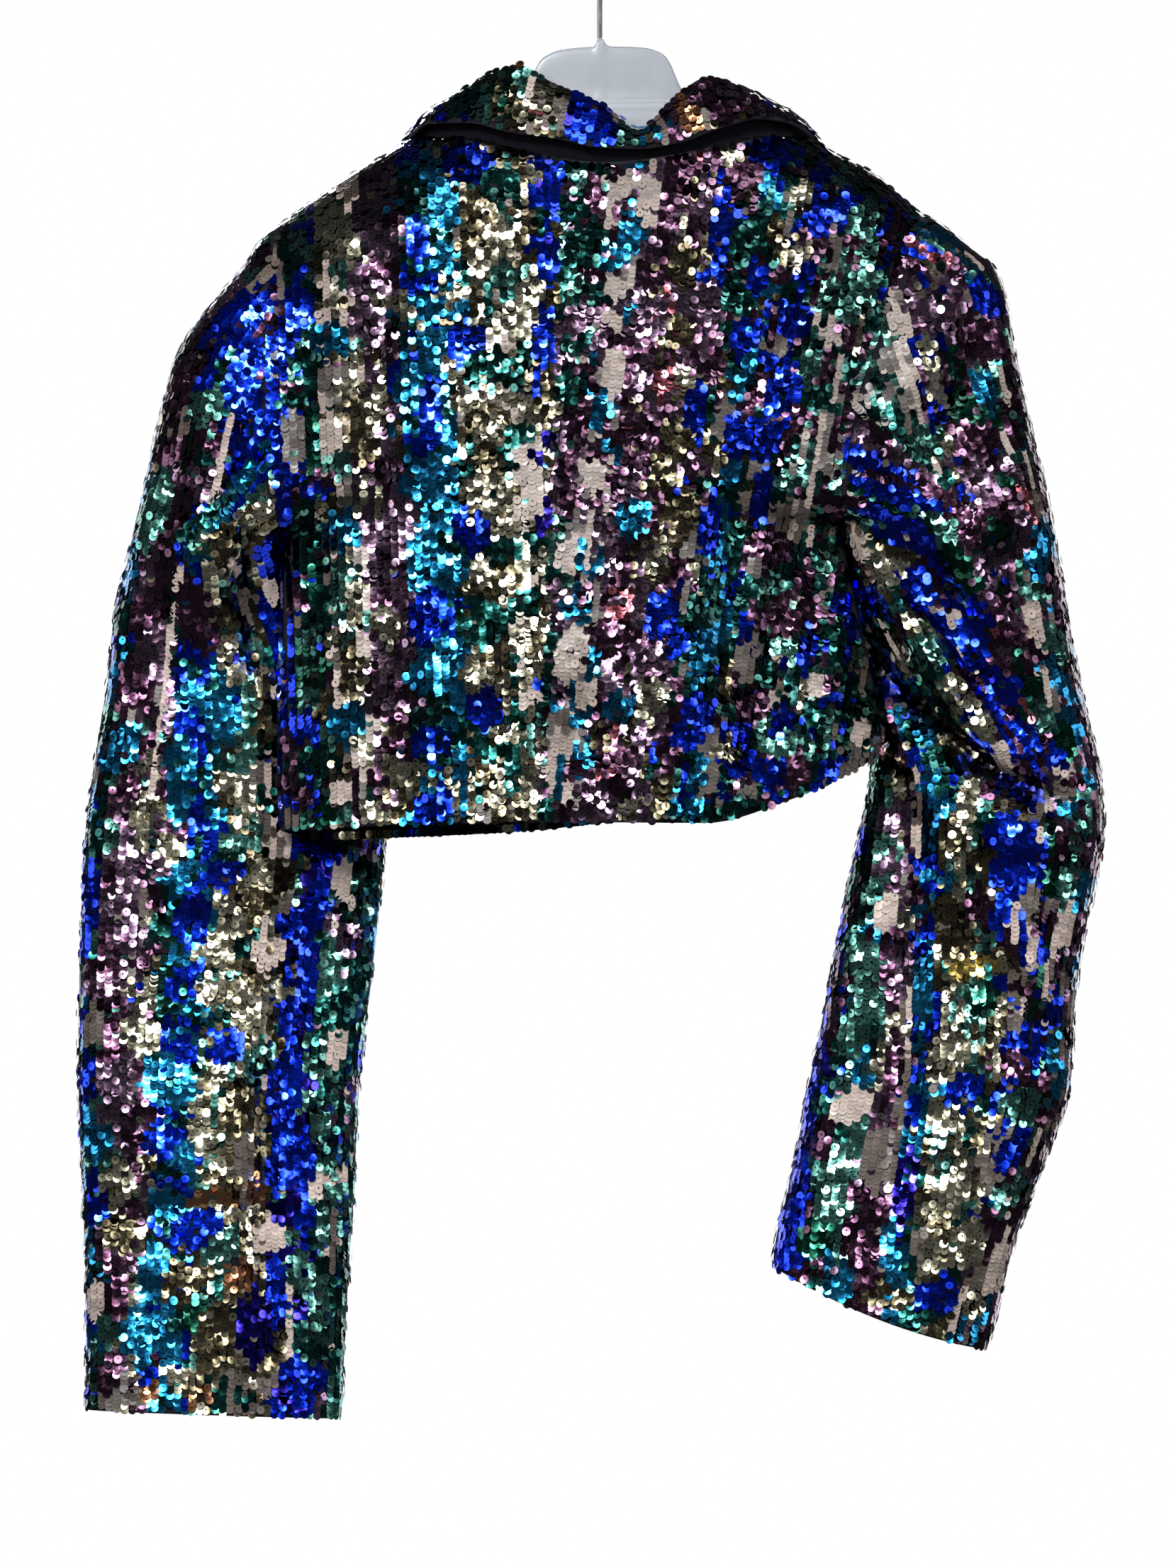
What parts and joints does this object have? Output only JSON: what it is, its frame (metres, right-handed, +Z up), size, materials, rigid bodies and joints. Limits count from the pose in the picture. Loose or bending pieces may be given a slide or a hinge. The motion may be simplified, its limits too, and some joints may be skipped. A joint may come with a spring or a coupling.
{
  "type": "blazer on a suit hanger",
  "caption": "Cropped long-sleeved blazer covered in multicoloured sequins, hanging on a pale plastic suit hanger with a metal hook.",
  "frame": {"origin": "inside of the hook's crown, where a rail carries the hanger", "axes": "+Z up along the hook's shank, -Y towards the side seen from behind the wearer (the garment's back), +Y the garment's front, -X the wearer's left"},
  "size_m": [0.5762, 0.1119, 0.857],
  "materials": {
    "sequin_cloth": "overlapping metallic sequins in cobalt, teal, turquoise, pale gold, mauve, plum and taupe on black cloth",
    "black_cloth": "matt black woven",
    "hanger_plastic": "pale translucent, satin",
    "hook_metal": "bright bent wire",
    "button_plastic": "black, glossy"
  },
  "bodies": {
    "root": {"back_left": "sequin_cloth", "back_right": "sequin_cloth", "front_left": "sequin_cloth", "front_right": "sequin_cloth", "lapel_left": "sequin_cloth", "lapel_right": "sequin_cloth", "collar_fall": "sequin_cloth", "sleeve_left_upper": "sequin_cloth", "sleeve_left_under": "sequin_cloth", "sleeve_right_upper": "sequin_cloth", "sleeve_right_under": "sequin_cloth", "collar_stand": "black_cloth", "button": "button_plastic", "hanger_body": "hanger_plastic", "hanger_hook": "hook_metal"}
  },
  "joints": []
}
